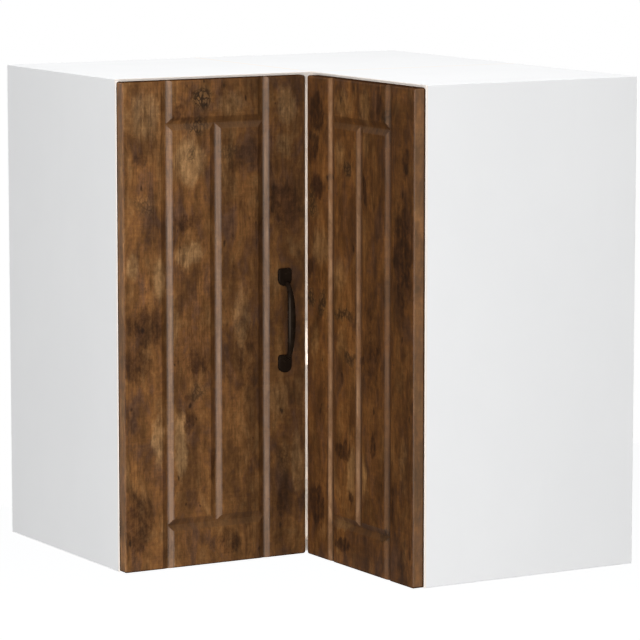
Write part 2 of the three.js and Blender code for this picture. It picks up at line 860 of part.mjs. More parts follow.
// The arm is a folded channel over the plate; its nose dips into the cup when the door is shut.
function hingeArm(height) {
  const low = boardThickness + panelSeam + hingePlateThickness + fitClearance;
  const high = low + hingeArmHeight;
  const rear = rearFront + hingeArmLength;
  const noseTip = rearLeafBack - hingeNoseReach;
  const nose = hingeArmNoseCorner;
  const corner = hingeArmCorner;
  const outline = new THREE.Shape();
  outline.moveTo(low, rear);
  outline.lineTo(low, rearFront + hingeArmStart);
  outline.lineTo(noseStart, rearLeafBack - leafGap);
  outline.lineTo(noseStart, noseTip + nose);
  outline.quadraticCurveTo(noseStart, noseTip, noseStart + nose, noseTip);
  outline.lineTo(high - nose, noseTip);
  outline.quadraticCurveTo(high, noseTip, high, noseTip + nose);
  outline.lineTo(high, rear - corner);
  outline.quadraticCurveTo(high, rear, high - corner, rear);
  const bottom = height - hingeArmWidth / 2;
  const body = plate(outline, hingeArmWidth, pressedEdge, frame(right, back, up, [0, 0, bottom]));
  const channel = block(
    [low - cutOverrun, rearFront + hingeChannelStart, bottom + hingeArmWall],
    [high - hingeArmWall, rear + cutOverrun, bottom + hingeArmWidth - hingeArmWall],
  );
  const adjusters = hingeAdjusters.map((place) => {
    const start = [high - hingeArmWall - cutOverrun, rearFront + place, height];
    return rod(adjusterRadius, hingeArmWall + 2 * cutOverrun, start, right);
  });
  return cut(body, channel, ...adjusters);
}

// ---------- Fold hinges ----------

const foldStrapNear = sideLeafBack + foldArmBehindLeaf;
const foldStrapFar = foldStrapNear + foldArmThickness;
const foldBridgeNear = rearLeafBack + foldPlateThickness + panelSeam + fitClearance;
const foldBridgeFar = foldBridgeNear + foldArmThickness;

// The cranked arm runs along the rear leaf's back, round the corner and into the side leaf's cup.
function foldArm(height) {
  const start = rearLeafEnd - foldPlateFromEnd - foldPlateLength;
  const knuckle = foldKnuckleRadius;
  const inner = foldArmInnerCorner;
  const outer = foldArmOuterCorner;
  const shape = new THREE.Shape();
  shape.moveTo(start, foldBridgeNear);
  shape.lineTo(foldStrapNear - inner, foldBridgeNear);
  shape.quadraticCurveTo(foldStrapNear, foldBridgeNear, foldStrapNear, foldBridgeNear - inner);
  shape.lineTo(foldStrapNear, foldPinY + knuckle);
  shape.lineTo(foldPinX, foldPinY + knuckle);
  shape.absarc(foldPinX, foldPinY, knuckle, Math.PI / 2, Math.PI * 1.5);
  shape.lineTo(foldStrapFar - inner, foldPinY - knuckle);
  shape.quadraticCurveTo(foldStrapFar, foldPinY - knuckle, foldStrapFar, foldPinY - knuckle + inner);
  shape.lineTo(foldStrapFar, foldBridgeFar - outer);
  shape.quadraticCurveTo(foldStrapFar, foldBridgeFar, foldStrapFar - outer, foldBridgeFar);
  shape.lineTo(start, foldBridgeFar);
  const bottom = height - foldArmWidth / 2;
  const body = plate(shape, foldArmWidth, pressedEdge, frame(right, back, up, [0, 0, bottom]));
  const boreRadius = foldPinRadius + fitClearance / 2;
  const boreStart = [foldPinX, foldPinY, bottom - cutOverrun];
  const bore = rod(boreRadius, foldArmWidth + 2 * cutOverrun, boreStart, up, pinSegments);
  const adjusterStart = [start + foldAdjuster, foldBridgeNear - cutOverrun, height];
  const adjuster = rod(adjusterRadius, foldArmThickness + 2 * cutOverrun, adjusterStart, back);
  return cut(body, bore, adjuster);
}

function foldPlate(height) {
  const centre = rearLeafEnd - foldPlateFromEnd - foldPlateLength / 2;
  const matrix = frame(left, up, back, [centre, rearLeafBack + panelSeam, height]);
  const width = foldArmWidth + foldPlateMargin;
  return wingedPlate(foldPlateLength, width, foldPlateThickness, matrix);
}

// The pin spans the cup just inside its rim and the arm's knuckle turns on it.
function foldPin(height) {
  const offset = foldPinY - sideCupCentre;
  const inside = cupRadius - cupWall;
  const half = Math.sqrt(inside ** 2 - (offset + foldPinRadius) ** 2) - fitClearance;
  return rod(foldPinRadius, half * 2, [foldPinX, foldPinY, height - half], up, pinSegments);
}

// ---------- Bumpers ----------

function bumper(height) {
  const thickness = leafGap - 2 * panelSeam;
  const dome = bumperDome.map(([width, rise]) => [bumperRadius * width, thickness * rise]);
  const profile = [[0, 0], [bumperRadius, 0], ...dome, [0, thickness]];
  const face = [sideFront - panelSeam, boardThickness / 2, height];
  return lathe(profile, rodSegments, frame(back, left, up, face));
}

// ---------- Assembly ----------

const cabinet = new THREE.Group();
cabinet.position.set(-cabinetWidth / 2, -cabinetDepth / 2, 0);

function add(name, solid, finish) {
  cabinet.add(toMesh(name, solid, finish));
}

function addCarcass() {
  add('left_end_panel', endPanel(rearFront, cabinetDepth, rearJoint, rearPinPlaces), finishes.melamine);
  add(
    'right_end_panel',
    swapLegs(endPanel(sideFront, cabinetWidth, sideJoint, sidePinPlaces)),
    finishes.melamine,
  );
  add('bottom_panel', lBoard(0, up), finishes.melamine);
  add('top_panel', lBoard(cabinetHeight - boardThickness, down), finishes.melamine);
  add('rear_back_panel', rearBackPanel(), finishes.hardboard);
  add('right_back_panel', sideBackPanel(), finishes.hardboard);
  add('corner_post', cornerPost(), finishes.melamine);
  add('shelf', shelf(), finishes.melamine);
}

function addShelfPins() {
  const start = boardThickness - shelfPinInside;
  rearPinPlaces.forEach((place, index) => {
    add(`left_shelf_pin_${index + 1}`, shelfPin([start, place, pinSeat], right), finishes.nickel);
  });
  sidePinPlaces.forEach((place, index) => {
    add(`right_shelf_pin_${index + 1}`, shelfPin([place, start, pinSeat], back), finishes.nickel);
  });
  const postFace = rearBackInner - boardThickness - panelSeam;
  add('rear_shelf_pin', shelfPin([postPinX, postFace + shelfPinInside, pinSeat], front), finishes.nickel);
}

function addJoint(board, side, joint, place) {
  const inward = board === 'top' ? down : up;
  const face = board === 'top' ? cabinetHeight - boardThickness : boardThickness;
  const middle = boardMiddles[board];
  const centre = boardThickness + camFromJoint;
  joint.cams.forEach((along, index) => {
    const name = `${board}_${side}_cam_${index + 1}`;
    add(name, place(cam(centre, along, face, inward, left)), finishes.zinc);
    add(`${name}_bolt`, place(camBolt(along, middle)), finishes.zinc);
  });
  add(`${board}_${side}_dowel`, place(dowel(joint.dowel, middle)), finishes.beech);
}

function addJoints() {
  for (const board of ['bottom', 'top']) {
    addJoint(board, 'left', rearJoint, (solid) => solid);
    addJoint(board, 'right', sideJoint, swapLegs);
  }
}

function addHangers() {
  add('left_hanger_housing', hangerHousing(rearBackInner), finishes.whitePlastic);
  add('right_hanger_housing', swapLegs(hangerHousing(sideBackInner)), finishes.whitePlastic);
  add('left_hanger_hook', hangerHook(rearBackInner), finishes.zinc);
  add('right_hanger_hook', swapLegs(hangerHook(sideBackInner)), finishes.zinc);
}

function addDoor() {
  add('left_door_leaf', rearLeaf(), finishes.oakFoil);
  add('right_door_leaf', sideLeaf(), finishes.oakFoil);
  add('door_handle', handle(), finishes.darkMetal);
  for (const [level, height] of Object.entries(handleScrewHeights)) {
    add(`${level}_handle_screw`, handleScrew(height), finishes.zinc);
  }
}

function addHinges() {
  for (const [level, height] of Object.entries(hingeHeights)) {
    add(`${level}_hinge_cup`, rearCup(height), finishes.nickel);
    add(`${level}_hinge_arm`, hingeArm(height), finishes.nickel);
    add(`${level}_hinge_plate`, hingePlate(height), finishes.nickel);
    add(`${level}_fold_cup`, sideCup(height), finishes.nickel);
    add(`${level}_fold_pin`, foldPin(height), finishes.zinc);
    add(`${level}_fold_arm`, foldArm(height), finishes.nickel);
    add(`${level}_fold_plate`, foldPlate(height), finishes.nickel);
  }
}

function addBumpers() {
  add('lower_bumper', bumper(bumperInset), finishes.clearRubber);
  add('upper_bumper', bumper(cabinetHeight - bumperInset), finishes.clearRubber);
}

addCarcass();
addShelfPins();
addJoints();
addHangers();
addDoor();
addHinges();
addBumpers();

export default cabinet;
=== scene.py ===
"""Corner wall cabinet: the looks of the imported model. Metres, +Z up, the front corner towards -X and -Y."""

import math

import bmesh
import bpy
from mathutils import Matrix, Vector


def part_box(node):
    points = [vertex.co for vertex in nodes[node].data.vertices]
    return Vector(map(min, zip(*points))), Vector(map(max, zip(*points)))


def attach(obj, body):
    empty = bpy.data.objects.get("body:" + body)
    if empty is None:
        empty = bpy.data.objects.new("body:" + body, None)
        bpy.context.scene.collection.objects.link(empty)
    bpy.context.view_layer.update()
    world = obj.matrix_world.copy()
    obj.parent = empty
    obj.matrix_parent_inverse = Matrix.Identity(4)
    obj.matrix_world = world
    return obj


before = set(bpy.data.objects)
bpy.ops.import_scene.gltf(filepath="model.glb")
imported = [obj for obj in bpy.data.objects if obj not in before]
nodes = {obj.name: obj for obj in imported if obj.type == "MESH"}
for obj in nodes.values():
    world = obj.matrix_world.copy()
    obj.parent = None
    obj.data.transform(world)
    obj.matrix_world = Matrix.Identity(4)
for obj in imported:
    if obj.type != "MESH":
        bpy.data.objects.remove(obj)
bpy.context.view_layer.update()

MM = 0.001

# ---------- Camera ----------

CAMERA_PLACE = (-2.3486, -4.0454, 0.9238)
CAMERA_YAW = 30.21
CAMERA_PITCH = 7.737
CAMERA_LENS = 212.7
CAMERA_SENSOR = 36.0
CAMERA_REACH = 60.0


def camera():
    data = bpy.data.cameras.new("camera")
    data.lens = CAMERA_LENS
    data.sensor_width = CAMERA_SENSOR
    data.clip_end = CAMERA_REACH
    holder = bpy.data.objects.new("camera", data)
    holder.location = CAMERA_PLACE
    holder.rotation_euler = (math.radians(90 - CAMERA_PITCH), 0, -math.radians(CAMERA_YAW))
    bpy.context.scene.collection.objects.link(holder)
    bpy.context.scene.camera = holder


# ---------- Material graphs ----------


class Graph:
    """Builds one material's nodes. A value is a number, a colour or another node's output."""

    def __init__(self, name):
        self.material = bpy.data.materials.new(name)
        self.material.use_nodes = True
        self.tree = self.material.node_tree
        self.tree.nodes.clear()
        self.output = self.node("ShaderNodeOutputMaterial")

    def node(self, kind, values=None, **settings):
        made = self.tree.nodes.new(kind)
        for key, value in settings.items():
            setattr(made, key, value)
        for key, value in (values or {}).items():
            self.feed(made.inputs[key], value)
        return made

    def feed(self, socket, value):
        if isinstance(value, bpy.types.NodeSocket):
            self.tree.links.new(value, socket)
        else:
            socket.default_value = value

    def place(self):
        return self.node("ShaderNodeTexCoord").outputs["Object"]

    def normal(self):
        return self.node("ShaderNodeTexCoord").outputs["Normal"]

    def split(self, vector):
        return self.node("ShaderNodeSeparateXYZ", {0: vector}).outputs

    def vector(self, x, y, z):
        return self.node("ShaderNodeCombineXYZ", {0: x, 1: y, 2: z}).outputs[0]

    def math(self, operation, first, second=0.0):
        return self.node("ShaderNodeMath", {0: first, 1: second}, operation=operation).outputs[0]

    def product(self, first, *others):
        """Multiplies numbers."""
        for other in others:
            first = self.math("MULTIPLY", first, other)
        return first

    def distance(self, first, second):
        return self.math("ABSOLUTE", self.math("SUBTRACT", first, second))

    def vmath(self, operation, first, second=(0, 0, 0), third=(0, 0, 0)):
        made = self.node("ShaderNodeVectorMath", {0: first, 1: second}, operation=operation)
        if operation == "MULTIPLY_ADD":
            self.feed(made.inputs[2], third)
        return made.outputs["Value" if operation == "LENGTH" else "Vector"]

    def scale(self, vector, sizes):
        return self.vmath("MULTIPLY", vector, sizes)

    def noise(self, vector, scale, detail, rough, bend, seed):
        values = {
            "Vector": vector, "W": seed, "Scale": scale, "Detail": detail,
            "Roughness": rough, "Distortion": bend,
        }
        return self.node("ShaderNodeTexNoise", values, noise_dimensions="4D").outputs[0]

    def cells(self, vector, scale, feature="F1"):
        values = {"Vector": vector, "Scale": scale}
        return self.node("ShaderNodeTexVoronoi", values, feature=feature).outputs

    def fade(self, value, low, high, start=0.0, end=1.0):
        """Goes smoothly from start to end while value goes from low to high."""
        values = {0: value, 1: low, 2: high, 3: start, 4: end}
        return self.node("ShaderNodeMapRange", values, interpolation_type="SMOOTHSTEP").outputs[0]

    def mix(self, factor, first, second):
        made = self.node("ShaderNodeMix", data_type="RGBA")
        self.feed(made.inputs[0], factor)
        self.feed(made.inputs[6], first)
        self.feed(made.inputs[7], second)
        return made.outputs[2]

    def shade(self, colour, factor):
        """Multiplies a colour by a number."""
        made = self.node("ShaderNodeVectorMath", {0: colour}, operation="SCALE")
        self.feed(made.inputs["Scale"], factor)
        return made.outputs["Vector"]

    def bump(self, height, depth, strength):
        values = {"Height": height, "Distance": depth, "Strength": strength}
        return self.node("ShaderNodeBump", values).outputs[0]

    def surface(self, **values):
        """The shader; each name is a socket of the Principled shader with _ for a space."""
        made = self.node("ShaderNodeBsdfPrincipled")
        for key, value in values.items():
            socket = made.inputs[key.replace("_", " ")]
            self.feed(socket, value)
        self.feed(self.output.inputs[0], made.outputs[0])
        return self.material


def rgb(red, green, blue):
    return (red, green, blue, 1.0)


# ---------- Oak foil ----------

FOIL_MIDDLE = rgb(0.150, 0.0605, 0.0155)
# the print's darkest brown, also the painted shade on groove walls turned away
FOIL_DEEP = rgb(0.042, 0.0155, 0.0047)
FOIL_GOLD = rgb(0.262, 0.142, 0.055)
FOIL_STAIN = rgb(0.076, 0.037, 0.021)
# the painted highlight on the groove walls
FOIL_GROOVE_HIGHLIGHT = rgb(0.350, 0.185, 0.086)
# a lighter brown that the end faces are mixed toward
FOIL_END_FACE = rgb(0.300, 0.205, 0.130)
# the dark rim, which on the rounding underneath is painted shade
FOIL_RIM = rgb(0.040, 0.017, 0.008)
FOIL_KNOT = rgb(0.020, 0.009, 0.005)
FOIL_CRACK = rgb(0.014, 0.007, 0.003)
FOIL_PIT = rgb(0.012, 0.006, 0.003)
FOIL_SPECK = rgb(0.018, 0.008, 0.004)
BACK_DULL = rgb(0.80, 0.80, 0.79)
BACK_WHITE = rgb(0.84, 0.84, 0.83)

# A face is the leaf's back where its normal points back by more than LEAF_BACK. UNDER_RIM is how far up the
# painted shade of the dark rim reaches on the rounding underneath.
LEAF_BACK = 0.9
LEAF_THICKNESS = 15 * MM
RIM_WIDTH = 2.4 * MM
UNDER_RIM = 3 * MM
GROOVE_HALF = 8 * MM
GROOVE_PITCH = 67 * MM
GROOVE_RAIL = 53 * MM
GROOVE_EDGE = (GROOVE_HALF * 1.05, GROOVE_HALF * 0.75)
# WALL_MIDDLE is how far a groove wall's middle lies from the groove's middle; over WALL_EDGE the painted
# highlight on a lit wall gives way to painted shade toward its edges
WALL_MIDDLE = GROOVE_HALF * 0.58
WALL_EDGE = (GROOVE_HALF * 0.46, GROOVE_HALF * 0.16)

LEFT_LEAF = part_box("left_door_leaf")
RIGHT_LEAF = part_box("right_door_leaf")
LEAF_BOTTOM = LEFT_LEAF[0].z
LEAF_HEIGHT = LEFT_LEAF[1].z - LEFT_LEAF[0].z
LEAF_WIDTH = (LEFT_LEAF[1].x - LEFT_LEAF[0].x, RIGHT_LEAF[1].y - RIGHT_LEAF[0].y)
LEAF_FOLD = (LEFT_LEAF[1].x, RIGHT_LEAF[1].y)
LEAF_FRONT = (LEFT_LEAF[0].y, RIGHT_LEAF[0].x)

# A mark fades in between these shares of its half width and half height.
MARK_EDGE = (1.25, 0.35)

# Each mark is its middle across and up and its half width and half height in millimetres, then its
# strength. The foil's print is laid out from the leaf's fold edge, so both leaves use the same list form.
LEFT_STAINS = (
    (173, 555, 17, 12, 0.9), (156, 580, 6, 7, 1.0), (166, 425, 26, 12, 0.75), (222, 300, 32, 30, 0.9),
    (235, 255, 26, 30, 0.75), (236, 60, 26, 50, 0.9), (155, 250, 22, 20, 0.8), (158, 213, 17, 6, 1.0),
    (164, 180, 12, 15, 0.7), (32, 440, 26, 30, 0.9), (20, 425, 20, 26, 0.7), (92, 495, 18, 26, 0.45),
    (108, 24, 20, 20, 0.8), (33, 72, 10, 30, 0.75), (131, 120, 5, 30, 0.8), (85, 250, 28, 60, 0.5),
    (70, 500, 10, 30, 0.7), (230, 500, 12, 14, 0.5), (185, 20, 22, 14, 0.4),
)
LEFT_GOLDS = (
    (163, 500, 26, 36, 0.85), (222, 555, 26, 40, 0.65), (203, 357, 13, 34, 0.8), (163, 385, 26, 20, 0.75),
    (206, 160, 12, 42, 0.75), (176, 150, 12, 52, 0.85), (27, 560, 17, 30, 0.7), (32, 510, 14, 22, 0.6),
    (92, 300, 16, 60, 0.5), (103, 565, 30, 20, 0.5), (40, 200, 22, 32, 0.5), (13, 120, 9, 46, 0.6),
    (240, 375, 12, 20, 0.6), (185, 300, 10, 40, 0.4),
)
RIGHT_STAINS = (
    (24, 552, 22, 30, 1.04), (14, 512, 18, 24, 0.98), (26, 462, 20, 16, 1.23), (97, 490, 10, 11, 1.23),
    (58, 474, 14, 5, 0.91), (138, 468, 5, 20, 1.30), (170, 572, 6, 26, 1.17), (187, 556, 10, 7, 1.04),
    (232, 508, 9, 24, 0.91), (226, 395, 30, 90, 0.85), (8, 362, 6, 14, 1.17), (10, 325, 9, 10, 1.30),
    (37, 318, 9, 20, 1.17), (88, 310, 24, 7, 1.17), (103, 258, 14, 9, 1.10), (86, 230, 5, 9, 1.30),
    (132, 256, 10, 8, 1.04), (158, 275, 28, 70, 0.65), (158, 160, 7, 20, 1.10), (88, 143, 24, 14, 0.98),
    (25, 66, 22, 32, 1.10), (107, 86, 7, 7, 1.17), (88, 26, 26, 10, 1.04), (182, 54, 15, 6, 1.17),
    (205, 98, 6, 30, 0.78), (235, 40, 20, 30, 0.52),
)
RIGHT_GOLDS = (
    (88, 566, 30, 20, 0.55), (138, 566, 18, 30, 0.6), (32, 388, 28, 30, 0.65), (78, 358, 24, 30, 0.6),
    (108, 116, 13, 40, 0.95), (138, 118, 8, 36, 0.8), (88, 52, 26, 9, 0.85), (228, 146, 14, 40, 0.45),
    (18, 276, 14, 32, 0.5), (84, 268, 18, 30, 0.5), (78, 505, 16, 26, 0.55), (140, 525, 14, 22, 0.5),
)
LEFT_CRACKS = (
    (144, 572, 14, 16, 1.0), (152, 541, 20, 11, 0.9), (160, 506, 9, 14, 0.5), (108, 508, 14, 10, 0.5),
    (224, 448, 18, 12, 0.5), (150, 218, 16, 12, 0.6), (32, 120, 12, 26, 0.4),
)
RIGHT_CRACKS = (
    (12, 440, 12, 20, 0.8), (10, 325, 12, 14, 1.0), (37, 318, 12, 18, 0.9), (88, 310, 26, 9, 0.8),
    (97, 490, 12, 14, 0.8), (187, 556, 12, 10, 0.7), (103, 258, 16, 11, 0.7), (182, 54, 16, 8, 0.7),
)

# How each leaf's foil looks. tones scale its brightness near the fold, far from it and on its end faces,
# which they brighten as a painted highlight. pale is the painted highlight's strength on the groove walls,
# near the fold and far from it. tint is each leaf's own painted colour cast, and knots is how black the
# stains' cores are.
LEFT_LOOK = {
    "stains": LEFT_STAINS, "golds": LEFT_GOLDS, "cracks": LEFT_CRACKS,
    "tones": (0.68, 1.16, 1.75), "pale": (0.24, 0.25), "tint": (0.99, 1.03, 1.13), "knots": 0.12,
}
RIGHT_LOOK = {
    "stains": RIGHT_STAINS, "golds": RIGHT_GOLDS, "cracks": RIGHT_CRACKS,
    "tones": (0.95, 0.69, 0.98), "pale": (0.46, 0.10), "tint": (0.96, 0.91, 0.84), "knots": 0.55,
}


class OakFoil(Graph):
    """Printed rustic oak. side is the axis across the leaf's face: 0 for X and 1 for Y."""

    def __init__(self, name, seed, side, look):
        super().__init__(name)
        self.seed, self.side, self.look = seed, side, look
        self.fold = LEAF_FOLD[side]
        self.point = self.place()
        self.axes = self.split(self.point)
        self.turned = self.split(self.normal())
        self.edgewise = self.fade(self.math("ABSOLUTE", self.turned[side]), 0.55, 0.9)
        self.from_fold = self.math("SUBTRACT", self.fold, self.axes[side])
        self.lay_out()
        self.find_grooves()
        self.find_rim()

        self.clouds = self.grain(34, 15, 6.0, 0.7, 0.7, 2)
        self.patina = self.grain(95, 42, 6.0, 0.72, 0.5, 8)
        self.shades = self.grain(40, 13, 5.0, 0.62, 0.9, 10)
        self.streaks = self.grain(330, 7, 5.0, 0.65, 0.1, 3)
        self.fibres = self.grain(1300, 40, 3.0, 0.6, 0.0, 4)
        self.mottle = self.grain(160, 110, 5.0, 0.7, 0.6, 5)
        self.uneven = self.product(self.math("SUBTRACT", self.patina, 0.5), 1.3)

    def lay_out(self):
        """The print runs on round the leaf's edges, and straight down into the grooves."""
        wrapped = self.product(self.axes[1 - self.side], self.edgewise)
        across = self.math("ADD", self.axes[self.side], wrapped)
        self.flat = self.vector(across, 0.0, self.axes[2])
        # the wander bends every stain and crack a little
        values = {
            "Vector": self.scale(self.flat, (90, 1, 34)), "W": self.seed, "Scale": 1.0,
            "Detail": 5.0, "Roughness": 0.62,
        }
        ragged = self.node("ShaderNodeTexNoise", values, noise_dimensions="4D").outputs["Color"]
        self.wander = self.vmath("MULTIPLY_ADD", ragged, (0.022, 0, 0.034), (-0.011, 0, -0.017))
        own = self.vector(self.axes[self.side], 0.0, self.axes[2])
        self.spread = self.vmath("ADD", own, self.wander)

    def find_grooves(self):
        """Finds where the foil is drawn into the grooves, and how far each point is from a wall's middle."""
        from_middle = self.distance(self.axes[self.side], self.fold - LEAF_WIDTH[self.side] / 2)
        side_groove = self.distance(from_middle, GROOVE_PITCH)
        height = self.distance(self.axes[2], LEAF_BOTTOM + LEAF_HEIGHT / 2)
        cross_height = LEAF_HEIGHT / 2 - GROOVE_RAIL
        cross_groove = self.distance(height, cross_height)
        between = self.math("LESS_THAN", from_middle, GROOVE_PITCH)
        inside = self.math("LESS_THAN", height, cross_height)
        centre = self.product(self.fade(from_middle, *GROOVE_EDGE), inside)
        self.cross = self.product(self.fade(cross_groove, *GROOVE_EDGE), between)
        upright = self.math("MAXIMUM", self.fade(side_groove, *GROOVE_EDGE), centre)
        self.drawn = self.math("MAXIMUM", upright, self.cross)
        centre_groove = self.math("ADD", from_middle, self.math("SUBTRACT", 1.0, inside))
        nearest = self.math("MINIMUM", side_groove, centre_groove)
        self.off_wall = self.distance(nearest, WALL_MIDDLE)

    def find_rim(self):
        """Finds the darkened rim: the edge by the back, the faces that look up, and the rounding underneath
        as painted shade.
        """
        depth = self.math("SUBTRACT", self.axes[1 - self.side], LEAF_FRONT[self.side])
        rim = self.fade(depth, LEAF_THICKNESS - RIM_WIDTH, LEAF_THICKNESS - RIM_WIDTH * 0.5)
        rim = self.math("MAXIMUM", rim, self.fade(self.turned[2], 0.6, 0.85))
        # painted shade: the rounding along the leaf's bottom that faces down is darkened
        under = self.math("LESS_THAN", self.axes[2], LEAF_BOTTOM + UNDER_RIM)
        under = self.product(under, self.fade(self.turned[2], -0.2, -0.5, 0.0, 0.9))
        self.rim = self.math("MAXIMUM", rim, under)

    def grain(self, across, up, detail, rough, bend, step):
        """A noise of the print. across and up are how fine it is, and step sets it apart from the others."""
        stretched = self.scale(self.flat, (across, 1, up))
        return self.noise(stretched, 1.0, detail, rough, bend, self.seed + step)

    def bent(self, tall, across, up):
        """The print's plane for cells. tall scales its height; across and up are shares of the wander."""
        squeezed = self.scale(self.flat, (1, 1, tall))
        return self.vmath("ADD", squeezed, self.scale(self.wander, (across, 0, up)))

    def dots(self, where, scale, chosen, size, core, strength):
        """Dots in some of the cells: those whose random number is above chosen."""
        cells = self.cells(where, scale)
        some = self.math("GREATER_THAN", self.split(cells[1])[0], chosen)
        return self.product(self.fade(cells[0], size, core, 0.0, strength), some)

    def marks(self, places):
        """The strongest of several soft-edged marks at each point of the foil."""
        total = None
        for across, up, half_width, half_height, strength in places:
            sizes = (1 / (half_width * MM), 0, 1 / (half_height * MM))
            place = (self.fold - across * MM, 0, LEAF_BOTTOM + up * MM)
            offset = [-where * size for where, size in zip(place, sizes)]
            reach = self.vmath("LENGTH", self.vmath("MULTIPLY_ADD", self.spread, sizes, offset))
            mark = self.fade(reach, *MARK_EDGE, 0.0, strength)
            total = mark if total is None else self.math("MAXIMUM", total, mark)
        return total

    def printed(self):
        """The ground of the print: brown bands with darker clouds and golden places."""
        bands = self.grain(30, 1.6, 3.0, 0.6, 0.2, 1)
        dim = self.mix(0.55, FOIL_DEEP, FOIL_MIDDLE)
        colour = self.mix(self.fade(bands, 0.30, 0.60), dim, FOIL_MIDDLE)
        colour = self.mix(self.fade(self.clouds, 0.34, 0.54, 0.75, 0.0), colour, FOIL_STAIN)
        gold = self.product(self.fade(self.clouds, 0.48, 0.70), 0.45)
        given = self.math("ADD", self.marks(self.look["golds"]), self.uneven)
        gold = self.math("MAXIMUM", gold, self.fade(given, 0.1, 0.95, 0.0, 0.85))
        gold = self.product(gold, self.fade(self.streaks, 0.30, 0.62, 0.6, 0.95))
        return self.mix(gold, colour, FOIL_GOLD)

    def stained(self, colour):
        stain = self.math("SUBTRACT", self.marks(self.look["stains"]), self.uneven)
        stain = self.product(
            self.fade(stain, 0.14, 0.86, 0.0, 0.9),
            self.fade(self.mottle, 0.36, 0.60, 1.0, 0.70),
            self.fade(self.streaks, 0.36, 0.64, 1.0, 0.78),
        )
        colour = self.mix(stain, colour, FOIL_DEEP)
        return self.mix(self.fade(stain, 0.4, 0.85, 0.0, self.look["knots"]), colour, FOIL_KNOT)

    def crackled(self, colour):
        """Places where gold shows between fine dark cracks."""
        places = self.marks(self.look["cracks"])
        colour = self.mix(self.product(places, 0.3), colour, FOIL_GOLD)
        edges = self.cells(self.bent(0.8, 0.7, 0.6), 210.0, "DISTANCE_TO_EDGE")[0]
        cracks = self.product(self.fade(edges, 0.20, 0.04, 0.0, 0.9), places)
        return self.mix(cracks, colour, FOIL_CRACK)

    def ringed(self, colour):
        """Growth rings that meander up the leaf in some places."""
        values = {
            "Vector": self.scale(self.flat, (1, 1, 0.16)), "Scale": 55.0, "Distortion": 14.0,
            "Detail": 2.0, "Detail Scale": 1.3, "Detail Roughness": 0.5, "Phase Offset": self.seed,
        }
        wave = {"wave_type": "BANDS", "bands_direction": "X", "wave_profile": "SAW"}
        rings = self.node("ShaderNodeTexWave", values, **wave).outputs[1]
        places = self.fade(self.grain(16, 5, 2.0, 0.5, 0.0, 6), 0.46, 0.62)
        lines = self.product(self.fade(rings, 0.62, 1.0, 0.0, 0.42), places)
        return self.mix(lines, colour, FOIL_DEEP)

    def pitted(self, colour):
        """Small dark pits, and flocks of finer specks."""
        pits = self.dots(self.bent(0.45, 0.5, 0.3), 62.0, 0.72, 0.17, 0.05, 0.8)
        colour = self.mix(pits, colour, FOIL_PIT)
        specks = self.dots(self.bent(0.6, 0.4, 0.3), 190.0, 0.55, 0.34, 0.12, 0.75)
        flocks = self.fade(self.grain(24, 11, 3.0, 0.6, 0.4, 12), 0.54, 0.66)
        return self.mix(self.product(specks, flocks), colour, FOIL_SPECK)

    def toned(self, colour):
        """Fine grain and broad shades, a slow change away from the fold, end faces lightened with a painted
        highlight, and a painted colour cast.
        """
        rubs = self.grain(34, 300, 5.0, 0.75, 0.6, 9)
        near, far, edge = self.look["tones"]
        near_to_far = self.fade(self.from_fold, 0.04, 0.18, near, far)
        # on the end faces the tone goes to the edge tone, a painted highlight that brightens them
        shift = self.product(self.math("SUBTRACT", edge, near_to_far), self.edgewise)
        tone = self.product(
            self.fade(self.streaks, 0.34, 0.66, 0.91, 1.09),
            self.fade(self.fibres, 0.30, 0.70, 0.94, 1.06),
            self.fade(rubs, 0.42, 0.68, 0.95, 1.13),
            self.fade(self.mottle, 0.34, 0.66, 0.84, 1.15),
            self.fade(self.patina, 0.36, 0.64, 0.82, 1.17),
            self.fade(self.shades, 0.36, 0.64, 0.70, 1.30),
            self.math("ADD", near_to_far, shift),
        )
        # the tint is a painted colour cast, different for each leaf of the one foil
        colour = self.vmath("MULTIPLY", self.shade(colour, tone), self.look["tint"])
        # the end faces are mixed a little toward a lighter brown
        return self.mix(self.product(self.edgewise, 0.2), colour, FOIL_END_FACE)

    def grooved(self, colour):
        """Painted highlight on the groove walls turned towards -X or -Y, and painted shade at their edges and
        on the rest.
        """
        across, up = self.turned[self.side], self.turned[2]
        # lit marks the groove walls turned towards -X on the left leaf and -Y on the right, which get a
        # painted highlight
        lit = self.product(self.drawn, self.fade(across, -0.08, -0.25))
        # dim is painted shade that darkens a lit wall toward its edges
        dim = self.fade(self.off_wall, *WALL_EDGE, 0.66, 1.04)
        dim = self.math("MAXIMUM", dim, self.math("SUBTRACT", 1.0, lit))
        # pale is the strength of the painted highlight along a lit wall's middle
        pale = self.product(
            lit,
            self.fade(self.off_wall, *WALL_EDGE, 0.3, 1.12),
            self.fade(self.from_fold, 0.06, 0.2, *self.look["pale"]),
            self.fade(self.clouds, 0.36, 0.64, 1.7, 0.3),
            self.fade(self.shades, 0.38, 0.62, 1.3, 0.7),
            self.fade(self.streaks, 0.36, 0.64, 0.7, 1.3),
        )
        colour = self.mix(pale, colour, FOIL_GROOVE_HIGHLIGHT)
        # the cross grooves' walls that look up get a faint painted highlight, then a little painted shade
        ledge = self.product(self.cross, self.fade(up, 0.0, 0.25))
        colour = self.mix(self.product(ledge, 0.12), colour, FOIL_GROOVE_HIGHLIGHT)
        dim = self.product(dim, self.math("SUBTRACT", 1.0, self.product(ledge, 0.22)))
        # painted shade on the groove walls turned the other way and on those that look down
        shaded = self.math("MAXIMUM", self.fade(across, -0.1, 0.2), self.fade(up, 0.1, -0.2))
        colour = self.mix(self.product(self.drawn, shaded, 0.28), colour, FOIL_DEEP)
        return self.shade(colour, dim)

